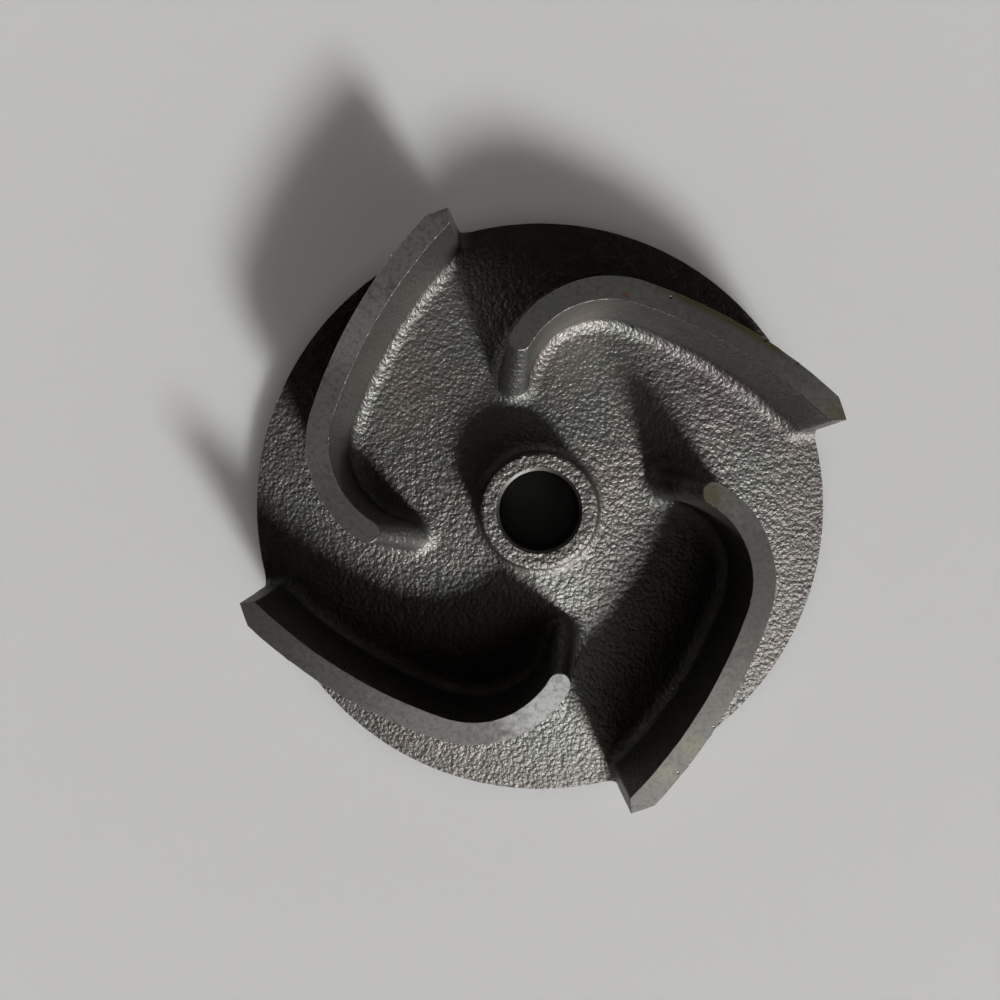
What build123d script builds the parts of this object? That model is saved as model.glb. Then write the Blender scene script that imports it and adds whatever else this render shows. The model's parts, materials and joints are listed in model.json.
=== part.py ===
from build123d import *
import os
from math import acos, atan2, cos, degrees, hypot, radians, sin, sqrt, tan

# Semi-open pump impeller: one grey-iron casting, with its rim, its vanes' front edges and its bore machined.
# Driving dimensions, in mm and degrees. The back face lies on Z = 0 and the shaft's axis is Z.
disc_diameter = 165.0
rim_thickness = 6.0
floor_slope = 8.0  # the disc's front rises towards the hub
overall_height = 35.0  # back face to the faced edges of the vanes
back_edge_chamfer = 1.0

hub_length = 24.0
hub_diameter = 31.6  # at its front face
hub_draft = 5.0
hub_fillet = 3.5
hub_edge_round = 0.8
bore_diameter = 22.0
bore_chamfer = 0.8

vane_count = 4
vane_thickness = 6.0  # across the faced edge
vane_draft = 3.0
vane_fillet = 4.0
inlet_arc_centre = (17.6, 31.8)
inlet_arc_radius = 26.5  # the vane's middle line near the hub
outlet_arc_radius = 134.5  # the vane's middle line from there to the rim
join_angle = 71.6  # where the two arcs meet, seen from the inlet arc's centre
nose_angle = 150.0  # where the vane begins at its faced edge, from the same centre
nose_slope_angle = 35.0  # how much further round it begins at its foot
tip_flat_depth = 4.0  # how far inside the rim the flat across the vane's end begins
tip_flat_direction = 5.5  # along the faced edge, from the X axis
casting_allowance = 12.0  # metal left outside the rim until it is turned

rim_radius = disc_diameter / 2
bore_radius = bore_diameter / 2
blank_radius = rim_radius + casting_allowance
foot_level = rim_thickness / 2  # the vanes are rooted inside the disc
vane_height = overall_height - foot_level
foot_growth = vane_height * tan(radians(vane_draft))


def floor_height(radius):
    """Height of the disc's front face at a radius."""
    return rim_thickness + (rim_radius - radius) * tan(radians(floor_slope))


def polar(centre, radius, angle):
    """Point at a radius and an angle in degrees about a centre."""
    return (centre[0] + radius * cos(radians(angle)), centre[1] + radius * sin(radians(angle)))


outlet_arc_centre = polar(inlet_arc_centre, inlet_arc_radius - outlet_arc_radius, join_angle)


def tip_corner():
    """Point of the faced edge where the vane's inner side ends and its tip flat begins."""
    radius = outlet_arc_radius - vane_thickness / 2
    distance = hypot(*outlet_arc_centre)
    reach = rim_radius - tip_flat_depth
    to_axis = degrees(atan2(-outlet_arc_centre[1], -outlet_arc_centre[0]))
    turn = degrees(acos((radius**2 + distance**2 - reach**2) / (2 * radius * distance)))
    return polar(outlet_arc_centre, radius, to_axis - turn)


def tip_angle(radius, growth):
    """Angle about the outlet arc's centre where an arc of this radius meets the tip flat."""
    along = (cos(radians(tip_flat_direction)), sin(radians(tip_flat_direction)))
    outward = (along[1], -along[0])
    corner = tip_corner()
    from_centre = (corner[0] - outlet_arc_centre[0], corner[1] - outlet_arc_centre[1])
    offset = from_centre[0] * outward[0] + from_centre[1] * outward[1] + growth
    reach = sqrt(radius**2 - offset**2)
    return degrees(atan2(offset * outward[1] + reach * along[1], offset * outward[0] + reach * along[0]))


def vane_outline(growth, nose):
    """Closed outline of one vane: two tangent arcs each side, a round nose and a flat end."""
    half = vane_thickness / 2 + growth
    sides = []
    for sign in (1, -1):
        outlet_radius = outlet_arc_radius + sign * half
        inlet_radius = inlet_arc_radius + sign * half
        end = tip_angle(outlet_radius, growth)
        outlet = CenterArc(outlet_arc_centre, outlet_radius, end, join_angle - end)
        inlet = CenterArc(inlet_arc_centre, inlet_radius, join_angle, nose - join_angle)
        sides.append((outlet, inlet))
    (outer_outlet, outer_inlet), (inner_outlet, inner_inlet) = sides
    nose_centre = polar(inlet_arc_centre, inlet_arc_radius, nose)
    ThreePointArc(outer_inlet @ 1, polar(nose_centre, half, nose + 90), inner_inlet @ 1)
    Line(outer_outlet @ 0, inner_outlet @ 0)


# Disc and hub: one round profile, cast wider than the finished rim.
# It is turned from a diagonal, where no vane tip meets the seam.
with BuildPart() as casting:
    with BuildSketch(Plane((0, 0, 0), x_dir=(1, -1, 0), z_dir=(-1, -1, 0))) as profile:
        with BuildLine():
            hub_radius = hub_diameter / 2
            hub_rise = hub_length - floor_height(hub_radius)
            hub_foot = hub_radius + hub_rise * tan(radians(hub_draft))
            Polyline(
                (0, 0),
                (blank_radius, 0),
                (blank_radius, floor_height(blank_radius)),
                (hub_foot, floor_height(hub_foot)),
                (hub_radius, hub_length),
                (0, hub_length),
                close=True,
            )
        make_face()
        levels = profile.vertices().group_by(Axis.Y)
        hub_base_corner = levels[-2].sort_by(Axis.X)[0]
        hub_front_corner = levels[-1].sort_by(Axis.X)[-1]
        fillet(hub_base_corner, radius=hub_fillet)
        fillet(hub_front_corner, radius=hub_edge_round)
    revolve(axis=Axis.Z)

# One vane, drawn in by the draft from its foot to its faced edge, with its nose sloping back.
with BuildPart() as vane:
    with BuildSketch(Plane.XY.offset(foot_level)):
        with BuildLine():
            vane_outline(foot_growth, nose_angle + nose_slope_angle)
        make_face()
    with BuildSketch(Plane.XY.offset(overall_height)):
        with BuildLine():
            vane_outline(0, nose_angle)
        make_face()
    loft(ruled=True)

with BuildPart() as impeller:
    add(casting.part)
    with PolarLocations(0, vane_count):
        add(vane.part)
    fillet(impeller.edges(Select.NEW), radius=vane_fillet)
    # One turning profile cuts the rim with the vanes' ends, breaks the back edge and bores the hub.
    with BuildSketch(Plane.XZ):
        with BuildLine():
            front = max(overall_height, hub_length)
            Polyline(
                (bore_radius + bore_chamfer, 0),
                (rim_radius - back_edge_chamfer, 0),
                (rim_radius, back_edge_chamfer),
                (rim_radius, front),
                (bore_radius + bore_chamfer, front),
                (bore_radius + bore_chamfer, hub_length),
                (bore_radius, hub_length - bore_chamfer),
                (bore_radius, bore_chamfer),
                close=True,
            )
        make_face()
    revolve(axis=Axis.Z, mode=Mode.INTERSECT)

impeller.part.label = "impeller"
os.makedirs("parts", exist_ok=True)
export_step(impeller.part, "parts/impeller.step")
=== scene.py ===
import bpy
import bmesh
import json
from math import radians
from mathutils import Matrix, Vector, noise


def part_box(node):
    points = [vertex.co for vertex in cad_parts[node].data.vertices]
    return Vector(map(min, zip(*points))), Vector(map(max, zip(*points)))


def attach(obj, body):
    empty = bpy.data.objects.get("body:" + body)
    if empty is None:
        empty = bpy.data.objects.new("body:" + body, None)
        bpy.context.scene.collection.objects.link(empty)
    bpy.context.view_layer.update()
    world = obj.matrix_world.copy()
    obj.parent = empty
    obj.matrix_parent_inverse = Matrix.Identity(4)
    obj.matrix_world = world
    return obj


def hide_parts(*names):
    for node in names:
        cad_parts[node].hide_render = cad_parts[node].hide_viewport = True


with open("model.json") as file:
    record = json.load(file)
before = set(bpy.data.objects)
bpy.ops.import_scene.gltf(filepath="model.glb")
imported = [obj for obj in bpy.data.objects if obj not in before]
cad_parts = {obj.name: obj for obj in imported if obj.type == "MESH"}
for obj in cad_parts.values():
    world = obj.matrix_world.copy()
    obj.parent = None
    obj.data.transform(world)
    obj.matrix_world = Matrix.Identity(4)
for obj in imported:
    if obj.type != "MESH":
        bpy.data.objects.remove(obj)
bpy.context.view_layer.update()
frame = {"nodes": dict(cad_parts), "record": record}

# The impeller: one grey-iron casting, a disc with a hub and four curved vanes, poured in a sand
# mould. Its vanes' front edges are faced, its rim and back turned and its bore bored, and those
# cuts stay smooth and crisp while the rest keeps the mould's sandy skin.
low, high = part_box("impeller")
rim_radius = high.x
front = high.z
bore = next(mount for mount in frame["record"]["mounts"] if mount["name"] == "bore")
bore_radius = bore["dims"]["r_mm"] / 1000
chamfer_reach = 0.0009  # the bore's chamfers lie within this of its wall
weld = 0.000001  # joins the corners of loose triangles
closeness = 0.00006  # a face this near to where a cut ran was left by it
square_on = 0.9  # a turned or bored wall looks at least this squarely out or in
leaning = 0.3  # and a chamfer this squarely
MOULDED, FACED, TURNED, BORED, BACKED = range(5)

shell = bmesh.new()
shell.from_mesh(frame["nodes"]["impeller"].data)
bmesh.ops.remove_doubles(shell, verts=shell.verts, dist=weld)
casting = bpy.data.objects.new("impeller_casting", bpy.data.meshes.new("impeller_casting"))
shell.to_mesh(casting.data)
shell.free()
bpy.context.scene.collection.objects.link(casting)

# The skin is laid out afresh in even facets, small enough to carry the casting's unevenness.
facet = 0.00083
even = casting.modifiers.new("even_facets", "REMESH")
even.mode = "SHARP"
even.octree_depth = 8
even.scale = (high.x - low.x) / (facet * 2**even.octree_depth)
even.use_remove_disconnected = False
dressed = casting.evaluated_get(bpy.context.evaluated_depsgraph_get())
casting.data = bpy.data.meshes.new_from_object(dressed)
casting.modifiers.clear()


def cut_of(face):
    """Which cut left this face, or MOULDED where the skin is as cast."""
    centre = face.calc_center_median()
    across = Vector((centre.x, centre.y, 0))
    outward = face.normal.dot(across.normalized())
    if centre.z > front - closeness:
        return FACED
    if centre.z < closeness:
        return BACKED
    if across.length > rim_radius - closeness and outward > square_on:
        return TURNED
    if across.length < bore_radius + chamfer_reach and outward < -leaning:
        return BORED if outward < -square_on else TURNED
    return MOULDED


# The cast skin swells and ripples a little, as the mould gave way. The vanes' walls are truer
# than the floor, because the pattern was drawn out along them.
swell_height, swell_size = 0.00010, 0.009
ripple_height, ripple_size = 0.00016, 0.0026
lump_height, lump_size = 0.00010, 0.0017
wall_trueness = 0.75


def unevenness(place, upright):
    """How far the cast skin stands out at a place, in metres."""
    swell = swell_height * noise.noise(place / swell_size)
    ripple = ripple_height * noise.noise(place / ripple_size)
    lumps = lump_height * noise.noise(place / lump_size)
    return swell + (ripple + lumps) * (1 - wall_trueness * upright)


skin = bmesh.new()
skin.from_mesh(casting.data)
skin.normal_update()
for face in skin.faces:
    face.smooth = True
    face.material_index = cut_of(face)
moves = []
for vertex in skin.verts:
    cast = [face for face in vertex.link_faces if face.material_index == MOULDED]
    if not cast:
        continue
    out = sum((face.normal for face in cast), Vector()).normalized()
    move = out * unevenness(vertex.co, 1 - abs(out.z))
    for face in vertex.link_faces:
        if face.material_index != MOULDED:
            move -= face.normal * move.dot(face.normal)
    moves.append((vertex, move))
for vertex, move in moves:
    vertex.co += move

# The facing cut's edges are broken by hand, so they catch the light as thin lines.
edge_break = 0.00012
arrises = []
for edge in skin.edges:
    cuts = {face.material_index for face in edge.link_faces}
    if FACED in cuts and len(cuts) > 1:
        arrises.append(edge)
bmesh.ops.bevel(skin, geom=arrises, offset=edge_break, segments=1, profile=0.5, material=-1, affect="EDGES")

# The back is turned flat in one cut, so it is one plain ring from the rim's chamfer to the bore's.
back = [face for face in skin.faces if face.material_index == BACKED]
bmesh.ops.delete(skin, geom=back, context="FACES")
rims = [edge for edge in skin.edges if edge.is_boundary]
ring = bmesh.ops.bridge_loops(skin, edges=rims)
for face in ring["faces"]:
    face.material_index = BACKED
bmesh.ops.recalc_face_normals(skin, faces=skin.faces)
crisp = radians(30)
for edge in skin.edges:
    cuts = {face.material_index for face in edge.link_faces}
    edge.smooth = cuts == {MOULDED} or edge.calc_face_angle() < crisp
skin.to_mesh(casting.data)
skin.free()


# The cast skin's finish: dark grey iron, blasted clean, pebbled all over by the moulding sand. It is
# browner here and greener there, stained in patches and darker towards the rim, with painted shade on the
# vanes' walls and in a few patches. The walls are smoother, with faint upright marks from drawing out the
# pattern.
def add_node(tree, kind, inputs=None, **settings):
    """A node of this kind. Each input takes a plain value or another node's output."""
    made = tree.nodes.new("ShaderNode" + kind)
    for name, value in settings.items():
        setattr(made, name, value)
    for socket, value in (inputs or {}).items():
        if isinstance(value, bpy.types.NodeSocket):
            tree.links.new(value, made.inputs[socket])
        else:
            made.inputs[socket].default_value = value
    return made


def sums(tree, operation, first, second, third=0.0):
    """The result of a Math node on two or three values."""
    return add_node(tree, "Math", {0: first, 1: second, 2: third}, operation=operation).outputs[0]


def measure(tree, operation, first, second=(0, 0, 0)):
    """The number that a Vector Math node finds, such as a length or a distance."""
    return add_node(tree, "VectorMath", {0: first, 1: second}, operation=operation).outputs["Value"]


def part_of(tree, vector, axis):
    """A vector's X, Y or Z."""
    return add_node(tree, "SeparateXYZ", {0: vector}).outputs[axis]


def fade(tree, value, none, full, most=1.0, curve="LINEAR"):
    """A number that goes from 0 to the most while a value goes from none to full."""
    span = {"Value": value, "From Min": none, "From Max": full, "To Max": most}
    return add_node(tree, "MapRange", span, interpolation_type=curve).outputs[0]


def clouds(tree, place, per_metre, detail, roughness=0.5):
    """Soft noise from 0 to 1."""
    values = {"Vector": place, "Scale": per_metre, "Detail": detail, "Roughness": roughness}
    return add_node(tree, "TexNoise", values).outputs["Fac"]


def blend(tree, amount, first, second):
    """A colour between two others."""
    return add_node(tree, "Mix", {0: amount, 6: first, 7: second}, data_type="RGBA").outputs[2]


def effect(name, inputs, output):
    """A node group for an effect that several finishes share, with its two end nodes."""
    group = bpy.data.node_groups.new(name, "ShaderNodeTree")
    for socket, kind in inputs.items():
        group.interface.new_socket(socket, in_out="INPUT", socket_type="NodeSocket" + kind)
    group.interface.new_socket(output[0], in_out="OUTPUT", socket_type="NodeSocket" + output[1])
    return group, group.nodes.new("NodeGroupInput").outputs, group.nodes.new("NodeGroupOutput").inputs


def place_effect(tree, group, inputs):
    """The first output of an effect placed in a material."""
    return add_node(tree, "Group", inputs, node_tree=group).outputs[0]


# Mottling: patches of two tones, large ones broken up by small ones.
small_to_large = 6.0
small_share = 0.35
mottling, given, result = effect(
    "mottling",
    {"Place": "Vector", "First": "Color", "Second": "Color", "Patches per metre": "Float"},
    ("Colour", "Color"),
)
large = clouds(mottling, given["Place"], given["Patches per metre"], detail=2.5)
small_scale = sums(mottling, "MULTIPLY", given["Patches per metre"], small_to_large)
small = clouds(mottling, given["Place"], small_scale, detail=2.0)
large_part = sums(mottling, "MULTIPLY", large, 1 - small_share)
patch = fade(mottling, sums(mottling, "MULTIPLY_ADD", small, small_share, large_part), none=0.40, full=0.60)
mottling.links.new(blend(mottling, patch, given["First"], given["Second"]), result["Colour"])

# A patch, which serves for stains and for painted light and shade alike: one ragged round patch that shades
# from one colour into another.
raggedness = 1.2
colour_patch, given, result = effect(
    "colour_patch",
    {
        "Place": "Vector", "Ragged": "Float", "Colour": "Color", "Overlay": "Color",
        "Centre": "Vector", "Reach": "Float", "Strength": "Float",
    },
    ("Colour", "Color"),
)
ratio = sums(colour_patch, "DIVIDE", measure(colour_patch, "DISTANCE", given["Place"], given["Centre"]), given["Reach"])
torn = sums(colour_patch, "MULTIPLY_ADD", given["Ragged"], raggedness, ratio)
cover = fade(colour_patch, torn, none=1.6, full=0.8, curve="SMOOTHSTEP")
amount = sums(colour_patch, "MULTIPLY", cover, given["Strength"])
colour_patch.links.new(blend(colour_patch, amount, given["Colour"], given["Overlay"]), result["Colour"])


def overlaid(tree, place, colour, overlays):
    """A colour with a list of patches laid over it, stains and painted light and shade among them: each
    one's colour, centre, reach and strength.
    """
    ragged = clouds(tree, place, per_metre=420, detail=3.0)
    for tone, centre, reach, strength in overlays:
        values = {"Place": place, "Ragged": ragged, "Colour": colour, "Overlay": (*tone, 1)}
        values.update({"Centre": centre, "Reach": reach, "Strength": strength})
        colour = place_effect(tree, colour_patch, values)
    return colour


def iron(name):
    """A new iron finish: its material, its node tree, its shader and its Object coordinates."""
    material = bpy.data.materials.new(name)
    material.use_nodes = True
    tree = material.node_tree
    shader = tree.nodes["Principled BSDF"]
    shader.inputs["Metallic"].default_value = 1.0
    return material, tree, shader, add_node(tree, "TexCoord").outputs["Object"]


def stand_up(tree, shader, height):
    """Give a finish its fine relief, from a height in metres."""
    relief = add_node(tree, "Bump", {"Strength": 1.0, "Distance": 1.0, "Height": height})
    tree.links.new(relief.outputs["Normal"], shader.inputs["Normal"])


sanded, tree, shader, place = iron("sand_cast_skin")
normal = add_node(tree, "NewGeometry").outputs["Normal"]
level = fade(tree, sums(tree, "ABSOLUTE", part_of(tree, normal, "Z"), 0.0), none=0.35, full=0.85)

# Its relief: pebbles the sand grains left, half as deep on the walls, and the walls' upright marks.
pebble_shake = 0.0006  # how far the pebbles stand out of line
pebble_depth = 0.00018  # on the walls, and as much again on the floor
mark_depth = 0.00006
mark_stretch = 0.08
jitter = add_node(tree, "TexNoise", {"Vector": place, "Scale": 1500, "Detail": 0.0}).outputs["Color"]
shaking = {0: jitter, 1: (pebble_shake, pebble_shake, pebble_shake), 2: place}
shaken = add_node(tree, "VectorMath", shaking, operation="MULTIPLY_ADD").outputs[0]
pebbles = add_node(tree, "TexVoronoi", {"Vector": shaken, "Scale": 800, "Detail": 1.0, "Roughness": 0.35})
depth = sums(tree, "MULTIPLY_ADD", level, -pebble_depth, -pebble_depth)
softened = sums(tree, "MULTIPLY", pebbles.outputs["Distance"], depth)
drawn = add_node(tree, "Mapping", {"Vector": place, "Scale": (1.0, 1.0, mark_stretch)}).outputs[0]
streaks = clouds(tree, drawn, per_metre=700, detail=2.0)
upright = sums(tree, "MULTIPLY", streaks, sums(tree, "MULTIPLY_ADD", level, -mark_depth, mark_depth))
stand_up(tree, shader, sums(tree, "ADD", softened, upright))

# Its colours: two tones of iron, then two darker patches on one vane's inner wall, painted shadow on
# another vane's nose, two greyish stains on the floor, three small dark pits and painted shade on the hub
# and about its foot, and last painted shade on the walls and a darkening towards the rim.
brown_iron = (0.215, 0.196, 0.182, 1)
green_iron = (0.180, 0.182, 0.168, 1)
wall_shade_and_rim_dark_iron = (0.090, 0.083, 0.078, 1)
pit_dark = (0.010, 0.009, 0.008)
wall_shade_strength = 0.35
rim_darkening = 0.3
tones = {"Place": place, "First": brown_iron, "Second": green_iron, "Patches per metre": 55.0}
colour = overlaid(tree, place, place_effect(tree, mottling, tones), (
    # two darker patches on one vane's inner wall, the second nearer its tip
    ((0.110, 0.095, 0.104), (0.050, 0.041, 0.022), 0.028, 0.8),
    ((0.085, 0.076, 0.082), (0.070, 0.030, 0.022), 0.022, 0.9),
    # painted shadow on a vane's nose, which faces away from the window
    ((0.050, 0.048, 0.045), (0.033, 0.007, 0.024), 0.009, 0.9),
    ((0.120, 0.112, 0.106), (0.024, -0.014, 0.014), 0.020, 0.7),
    ((0.145, 0.132, 0.124), (-0.046, -0.062, 0.007), 0.022, 0.6),
    (pit_dark, (0.0437, 0.0452, 0.0181), 0.0010, 1.0),
    (pit_dark, (0.0124, 0.0539, 0.0224), 0.0008, 1.0),
    (pit_dark, (0.0262, 0.0518, 0.0118), 0.0008, 1.0),
    # painted shade on the hub's front and on the floor about its foot
    ((0.125, 0.118, 0.110), (0.000, 0.000, 0.022), 0.022, 0.8),
))
# Darker towards the rim, and painted shade on the walls, deeper the more upright a face stands.
outer = fade(tree, measure(tree, "LENGTH", place), none=0.060, full=0.080, most=rim_darkening)
painted_wall_shade = sums(tree, "MULTIPLY_ADD", level, -wall_shade_strength, wall_shade_strength)
colour = blend(tree, sums(tree, "MAXIMUM", outer, painted_wall_shade), colour, wall_shade_and_rim_dark_iron)
tree.links.new(colour, shader.inputs["Base Color"])

# Its gloss: the walls shine most, the pebbled floor less, and the dulled rim least.
wall_roughness = 0.46
floor_roughening = 0.13
rim_roughening = 0.15
flat_gloss = sums(tree, "MULTIPLY_ADD", level, floor_roughening, wall_roughness)
gloss = sums(tree, "MULTIPLY_ADD", outer, rim_roughening, flat_gloss)
tree.links.new(gloss, shader.inputs["Roughness"])
casting.data.materials.append(sanded)

# The faced edges of the vanes: bright grey iron with pores opened by the cutter and rings of tool marks
# about the shaft's axis. It is lighter on some vanes and darker on others in broad patches, with a painted
# highlight on the front vane that is brightest at its nose, and it has specks of grime, a few rust and oil
# stains, and an oiled band along one vane's outer side.
tool_marks, given, result = effect("tool_marks", {"Place": "Vector", "Depth": "Float"}, ("Height", "Float"))
parts = add_node(tool_marks, "SeparateXYZ", {0: given["Place"]})
flat = add_node(tool_marks, "CombineXYZ", {"X": parts.outputs["X"], "Y": parts.outputs["Y"]})
travel = sums(tool_marks, "ADD", measure(tool_marks, "LENGTH", flat.outputs[0]), parts.outputs["Z"])
rings = {"W": travel, "Scale": 3600, "Detail": 2.0}
grooves = add_node(tool_marks, "TexNoise", rings, noise_dimensions="1D").outputs["Fac"]
tool_marks.links.new(sums(tool_marks, "MULTIPLY", grooves, given["Depth"]), result["Height"])

pores, given, result = effect("pores", {"Place": "Vector", "Share": "Float"}, ("Mask", "Float"))
holes = add_node(pores, "TexVoronoi", {"Vector": given["Place"], "Scale": 330})
dot = fade(pores, holes.outputs["Distance"], none=0.13, full=0.07)
chosen = sums(pores, "LESS_THAN", part_of(pores, holes.outputs["Color"], "X"), given["Share"])
pores.links.new(sums(pores, "MULTIPLY", dot, chosen), result["Mask"])

faced, tree, shader, place = iron("faced_iron")
shader.inputs["Roughness"].default_value = 0.47
faced_brown = (0.235, 0.225, 0.208, 1)
faced_green = (0.208, 0.208, 0.193, 1)
tones = {"Place": place, "First": faced_brown, "Second": faced_green, "Patches per metre": 120.0}
colour = overlaid(tree, place, place_effect(tree, mottling, tones), (
    # broad lighter and darker patches, one vane at a time
    ((0.430, 0.420, 0.392), (-0.036, 0.068, 0.035), 0.024, 1.0),
    ((0.530, 0.520, 0.490), (-0.050, 0.047, 0.035), 0.022, 1.0),
    ((0.335, 0.325, 0.308), (-0.057, 0.022, 0.035), 0.024, 1.0),
    ((0.152, 0.142, 0.134), (0.056, -0.020, 0.035), 0.032, 1.0),
    # the next two are painted highlight on the front vane, brightest at its nose
    ((0.310, 0.300, 0.285), (-0.030, -0.060, 0.035), 0.026, 1.0),
    ((0.630, 0.630, 0.610), (0.003, -0.052, 0.035), 0.022, 1.0),
    ((0.180, 0.168, 0.155), (-0.076, -0.030, 0.035), 0.026, 0.9),
    ((0.165, 0.160, 0.152), (0.052, 0.043, 0.035), 0.034, 1.0),
    ((0.180, 0.150, 0.070), (0.077, 0.0250, 0.035), 0.006, 0.6),
    ((0.260, 0.110, 0.040), (0.0219, 0.0563, 0.035), 0.0014, 0.6),
    ((0.150, 0.128, 0.056), (0.043, 0.0045, 0.035), 0.007, 0.7),
    ((0.300, 0.290, 0.210), (0.040, -0.0610, 0.035), 0.005, 0.5),
    ((0.300, 0.290, 0.220), (0.033, -0.0680, 0.035), 0.005, 0.5),
))

# The oiled band keeps to the outer side of the vane's faced edge, an arc about this centre.
vane_arc_centre = (-0.0165, -0.0707, 0.035)
oil_olive = (0.120, 0.112, 0.055, 1)
outer_side = fade(tree, measure(tree, "DISTANCE", place, vane_arc_centre), none=0.1352, full=0.1368)
along = part_of(tree, place, "X")
begun = fade(tree, along, none=0.028, full=0.038)
ended = fade(tree, along, none=0.064, full=0.060)
oiled = sums(tree, "MULTIPLY", outer_side, sums(tree, "MULTIPLY", begun, ended))
colour = blend(tree, oiled, colour, oil_olive)

grime_brown = (0.085, 0.078, 0.072, 1)
pore_dark = (0.02, 0.018, 0.016, 1)
pore_depth = 0.0001
grime = clouds(tree, place, per_metre=800, detail=3.0, roughness=0.7)
colour = blend(tree, fade(tree, grime, none=0.48, full=0.66, most=0.45), colour, grime_brown)
pits = place_effect(tree, pores, {"Place": place, "Share": 0.10})
tree.links.new(blend(tree, pits, colour, pore_dark), shader.inputs["Base Color"])
marks = place_effect(tree, tool_marks, {"Place": place, "Depth": 0.000008})
stand_up(tree, shader, sums(tree, "MULTIPLY_ADD", pits, -pore_depth, marks))
casting.data.materials.append(faced)

# The turned rim and chamfers, the bore and the back: the same iron, each with its cutter's rings.
# The bore's colour is dimmed as painted shade, and its rings are finer.
turned_brown = (0.215, 0.205, 0.190)
turned_green = (0.185, 0.185, 0.172)
for name, roughness, ring_depth, painted_shade_dimming in (
    ("turned_iron", 0.42, 0.000012, 1.0),
    # the bore's colour is dimmed to three tenths as painted shade
    ("bored_iron", 0.40, 0.000006, 0.3),
    ("backed_iron", 0.42, 0.000012, 1.0),
):
    cut, tree, shader, place = iron(name)
    shader.inputs["Roughness"].default_value = roughness
    first = (*(part * painted_shade_dimming for part in turned_brown), 1)
    second = (*(part * painted_shade_dimming for part in turned_green), 1)
    tones = {"Place": place, "First": first, "Second": second, "Patches per metre": 90.0}
    pits = place_effect(tree, pores, {"Place": place, "Share": 0.06})
    colour = blend(tree, pits, place_effect(tree, mottling, tones), pore_dark)
    tree.links.new(colour, shader.inputs["Base Color"])
    stand_up(tree, shader, place_effect(tree, tool_marks, {"Place": place, "Depth": ring_depth}))
    casting.data.materials.append(cut)

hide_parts("impeller")
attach(casting, "root")

# The studio's floor: plain and pale under the casting. It passes some light through itself, and
# away from the casting it glows faintly, so that a shadow on it stays pale.
floor_mesh = bpy.data.meshes.new("floor")
table = bmesh.new()
bmesh.ops.create_grid(table, x_segments=1, y_segments=1, size=3.0)
table.to_mesh(floor_mesh)
table.free()
floor = bpy.data.objects.new("floor", floor_mesh)
bpy.context.scene.collection.objects.link(floor)
pale = bpy.data.materials.new("pale_floor")
pale.use_nodes = True
tree = pale.node_tree
shader = tree.nodes["Principled BSDF"]
for socket, value in (
    ("Base Color", (0.41, 0.41, 0.405, 1)),
    ("Roughness", 0.9),
    ("Subsurface Weight", 1.0),
    ("Subsurface Radius", (1.0, 0.85, 0.8)),
    ("Subsurface Scale", 0.03),
    ("Emission Strength", 1.0),
):
    shader.inputs[socket].default_value = value
no_glow = (0.0, 0.0, 0.0, 1)
floor_glow = (0.105, 0.102, 0.098, 1)
away = measure(tree, "LENGTH", add_node(tree, "TexCoord").outputs["Object"])
open_floor = fade(tree, away, none=0.070, full=0.092, curve="SMOOTHSTEP")
tree.links.new(blend(tree, open_floor, no_glow, floor_glow), shader.inputs["Emission Color"])
floor_mesh.materials.append(pale)

# The studio's light: one soft window, low in front and a little to the right, with a broad glow
# about it, and a dim warm surround. The camera sees a plain grey backdrop instead of these.
toward_light = Vector((0.87, -1.50, 1.0)).normalized()
key = bpy.data.lights.new("window", "SUN")
key.energy = 6.0
key.angle = radians(10.5)
key_stand = bpy.data.objects.new("window", key)
bpy.context.scene.collection.objects.link(key_stand)
key_stand.rotation_euler = toward_light.to_track_quat("Z", "Y").to_euler()
world = bpy.data.worlds.new("surround")
bpy.context.scene.world = world
world.use_nodes = True
sky = world.node_tree
window_glow = (0.78, 0.73, 0.65, 1)
backdrop_grey = (0.52, 0.52, 0.51, 1)
direction = add_node(sky, "TexCoord").outputs["Generated"]
shade = add_node(sky, "ValToRGB", {"Fac": part_of(sky, direction, "Z")})
for end, position, dimness in (
    (0, 0.0, (0.020, 0.0175, 0.015, 1)),
    (1, 0.5, (0.009, 0.0075, 0.006, 1)),
):
    shade.color_ramp.elements[end].position = position
    shade.color_ramp.elements[end].color = dimness
nearness = measure(sky, "DOT_PRODUCT", direction, toward_light)
glowing = fade(sky, nearness, none=0.78, full=1.0, curve="SMOOTHSTEP")
around = blend(sky, glowing, shade.outputs["Color"], window_glow)
seen = add_node(sky, "LightPath").outputs["Is Camera Ray"]
backdrop = blend(sky, seen, around, backdrop_grey)
sky.links.new(backdrop, sky.nodes["Background"].inputs["Color"])

# The camera looks almost straight down on the vanes from a little over a quarter of a metre,
# tipped by one or two degrees.
lens = bpy.data.cameras.new("camera")
lens.lens = 33.31
camera = bpy.data.objects.new("camera", lens)
bpy.context.scene.collection.objects.link(camera)
camera.location = (-0.00503, 0.00984, 0.27583)
camera.rotation_euler = (-0.02745, 0.02273, 0.0061)
bpy.context.scene.camera = camera
bpy.context.scene.view_settings.view_transform = "Standard"
